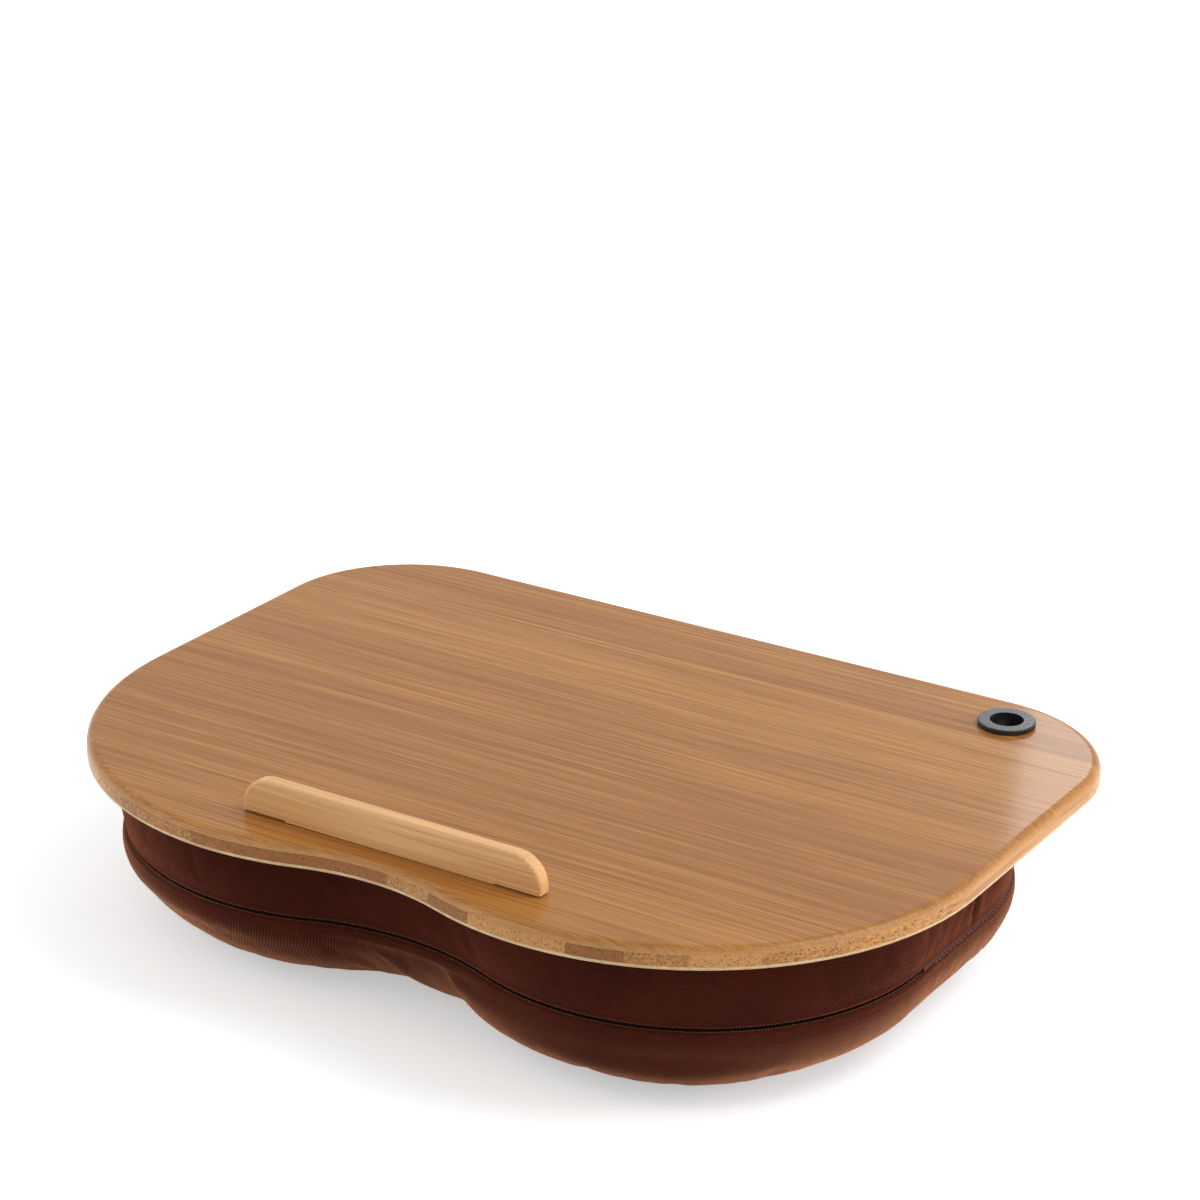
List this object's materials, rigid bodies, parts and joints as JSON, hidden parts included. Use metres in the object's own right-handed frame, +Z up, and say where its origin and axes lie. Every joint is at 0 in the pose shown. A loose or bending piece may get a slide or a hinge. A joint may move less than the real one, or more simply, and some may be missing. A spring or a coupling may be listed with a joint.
{
  "type": "lap tray with cushion",
  "caption": "Bamboo lap tray with a lift-out device stop and a cable grommet on a lobed, zip-covered cushion that pulls off its hook-and-loop strips.",
  "frame": {"origin": "on the surface that the cushion rests on, below the centre of the tray", "axes": "+X to the user's right along the tray's long side, +Y from the user's edge to the rear, +Z up"},
  "size_m": [0.381, 0.2794, 0.0903],
  "materials": {
    "bamboo_face": "satin",
    "bamboo_core": "satin",
    "bamboo_stop": "satin",
    "grommet_plastic": "semi-gloss",
    "cover_fabric": "matt twill",
    "cushion_filling": "matt",
    "hook_loop": "matt",
    "zipper_tape": "matt",
    "zipper_coil": "satin",
    "zipper_metal": "satin"
  },
  "bodies": {
    "cushion": {"filling": "cushion_filling", "bottom_panel": "cover_fabric", "front_band": "cover_fabric", "rear_band": "cover_fabric", "top_panel": "cover_fabric", "rear_seam": "cover_fabric", "loop_strip_front": "hook_loop", "loop_strip_rear": "hook_loop", "zipper_tape_upper": "zipper_tape", "zipper_tape_lower": "zipper_tape", "zipper_coil_upper": "zipper_coil", "zipper_coil_lower": "zipper_coil", "zipper_end_stops": "zipper_metal"},
    "tray": {"top_ply": "bamboo_face", "bottom_ply": "bamboo_face", "core_strip_01": "bamboo_core", "core_strip_02": "bamboo_core", "core_strip_03": "bamboo_core", "core_strip_04": "bamboo_core", "core_strip_05": "bamboo_core", "core_strip_06": "bamboo_core", "core_strip_07": "bamboo_core", "core_strip_08": "bamboo_core", "core_strip_09": "bamboo_core", "core_strip_10": "bamboo_core", "core_strip_11": "bamboo_core", "core_strip_12": "bamboo_core", "core_strip_13": "bamboo_core", "core_strip_14": "bamboo_core", "core_strip_15": "bamboo_core", "core_strip_16": "bamboo_core", "core_strip_17": "bamboo_core", "core_strip_18": "bamboo_core", "core_strip_19": "bamboo_core", "cable_grommet": "grommet_plastic", "hook_strip_front": "hook_loop", "hook_strip_rear": "hook_loop"},
    "device_stop": {"stop_bar": "bamboo_stop"},
    "zipper_slider": {"zipper_slider": "zipper_metal"},
    "pull_tab": {"pull_tab": "zipper_metal"}
  },
  "joints": [
    {"name": "tray_lift", "type": "slide", "parent": "cushion", "child": "tray", "axis": [0, 0, 1], "range_m": [0, 0.08]},
    {"name": "stop_lift", "type": "slide", "parent": "tray", "child": "device_stop", "axis": [0, 0, 1], "range_m": [0, 0.012]},
    {"name": "zipper_slide", "type": "hinge", "parent": "cushion", "child": "zipper_slider", "pos_m": [-0.076, -0.0247, 0.0355], "axis": [0, 0, 1], "range_deg": [0, 104]},
    {"name": "pull_swing", "type": "hinge", "parent": "zipper_slider", "child": "pull_tab", "pos_m": [-0.17868, -0.02976, 0.0355], "axis": [0, 0, 1], "range_deg": [0, 175]}
  ]
}
